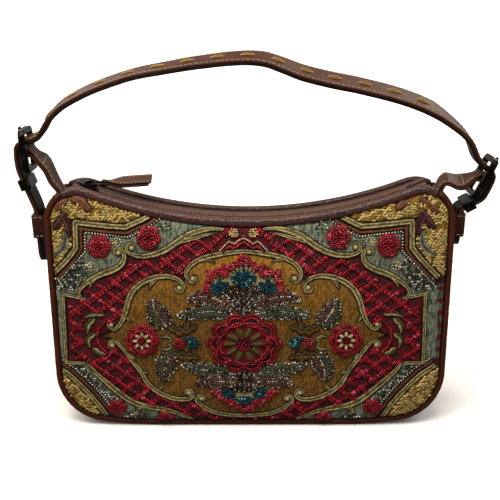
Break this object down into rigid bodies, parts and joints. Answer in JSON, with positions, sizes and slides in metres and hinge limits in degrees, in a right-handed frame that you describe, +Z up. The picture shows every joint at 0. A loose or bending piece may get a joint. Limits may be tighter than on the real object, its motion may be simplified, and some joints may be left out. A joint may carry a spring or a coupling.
{
  "type": "shoulder bag",
  "caption": "Small structured shoulder bag with bowed panels, leather gusset and piping, a zip along the sagging top edge and a flat strap buckled at each top corner.",
  "frame": {"origin": "middle of the flat base, on the floor", "axes": "+X to the bag's right seen from the front, +Y to the back, +Z up; the tapestry panel faces -Y"},
  "size_m": [0.3438, 0.0825, 0.2639],
  "materials": {
    "tapestry": "woven and beaded",
    "trellis_cloth": "woven, beaded lattice",
    "gold_thread": "couched thread",
    "ochre_cloth": "woven",
    "olive_thread": "satin stitched",
    "red_beads": "glossy beads",
    "grey_beads": "glossy beads",
    "body_leather": "smooth, softly polished",
    "dark_leather": "pebbled, polished edges",
    "cloth": "plain woven",
    "antique_brass": "darkened, polished",
    "board": "matte",
    "lace": "smooth"
  },
  "bodies": {
    "bag": {"front_panel": "tapestry", "trellis_field": "trellis_cloth", "corner_fields": "gold_thread", "medallion_field": "ochre_cloth", "scrolls": "olive_thread", "rosettes": "red_beads", "leaves": "grey_beads", "back_panel": "body_leather", "gusset": "body_leather", "front_piping": "body_leather", "back_piping": "body_leather", "front_binding": "dark_leather", "back_binding": "dark_leather", "lining": "cloth", "base_board": "board", "front_zip_tape": "cloth", "back_zip_tape": "cloth", "front_zip_teeth": "antique_brass", "back_zip_teeth": "antique_brass", "zip_stops": "antique_brass", "zip_end_tabs": "dark_leather", "left_chape": "body_leather", "right_chape": "body_leather", "left_metal_keeper": "antique_brass", "right_metal_keeper": "antique_brass", "left_side_loop": "body_leather", "right_side_loop": "body_leather", "strap_upper": "body_leather", "strap_backing": "dark_leather", "strap_lacing": "lace"},
    "slider": {"zip_slider": "antique_brass"},
    "ring": {"pull_ring": "antique_brass"},
    "tab": {"pull_tab": "body_leather"},
    "left_buckle": {"left_buckle_frame": "antique_brass"},
    "right_buckle": {"right_buckle_frame": "antique_brass"},
    "left_prong": {"left_buckle_prong": "antique_brass"},
    "right_prong": {"right_buckle_prong": "antique_brass"}
  },
  "joints": [
    {"name": "zip_travel", "type": "hinge", "parent": "bag", "child": "slider", "pos_m": [0, 0, 0.46882], "axis": [0, -1, 0], "range_deg": [0, 41], "deforming": ["front_zip_teeth", "back_zip_teeth"]},
    {"name": "ring_swing", "type": "hinge", "parent": "slider", "child": "ring", "pos_m": [-0.11308, 0, 0.17398], "axis": [0, -1, 0], "range_deg": [-16, 54]},
    {"name": "tab_swing", "type": "hinge", "parent": "ring", "child": "tab", "pos_m": [-0.10508, 0, 0.17409], "axis": [0, -1, 0], "range_deg": [-4, 45]},
    {"name": "left_buckle_swing", "type": "hinge", "parent": "bag", "child": "left_buckle", "pos_m": [-0.158, 0, 0.199], "axis": [0, -1, 0], "range_deg": [-3, 3]},
    {"name": "right_buckle_swing", "type": "hinge", "parent": "bag", "child": "right_buckle", "pos_m": [0.1665, 0, 0.1785], "axis": [0, 1, 0], "range_deg": [-3, 3]},
    {"name": "left_prong_swing", "type": "hinge", "parent": "left_buckle", "child": "left_prong", "pos_m": [-0.158, 0, 0.199], "axis": [0, -1, 0], "range_deg": [0, 10]},
    {"name": "right_prong_swing", "type": "hinge", "parent": "right_buckle", "child": "right_prong", "pos_m": [0.1665, 0, 0.1785], "axis": [0, 1, 0], "range_deg": [0, 10]}
  ]
}
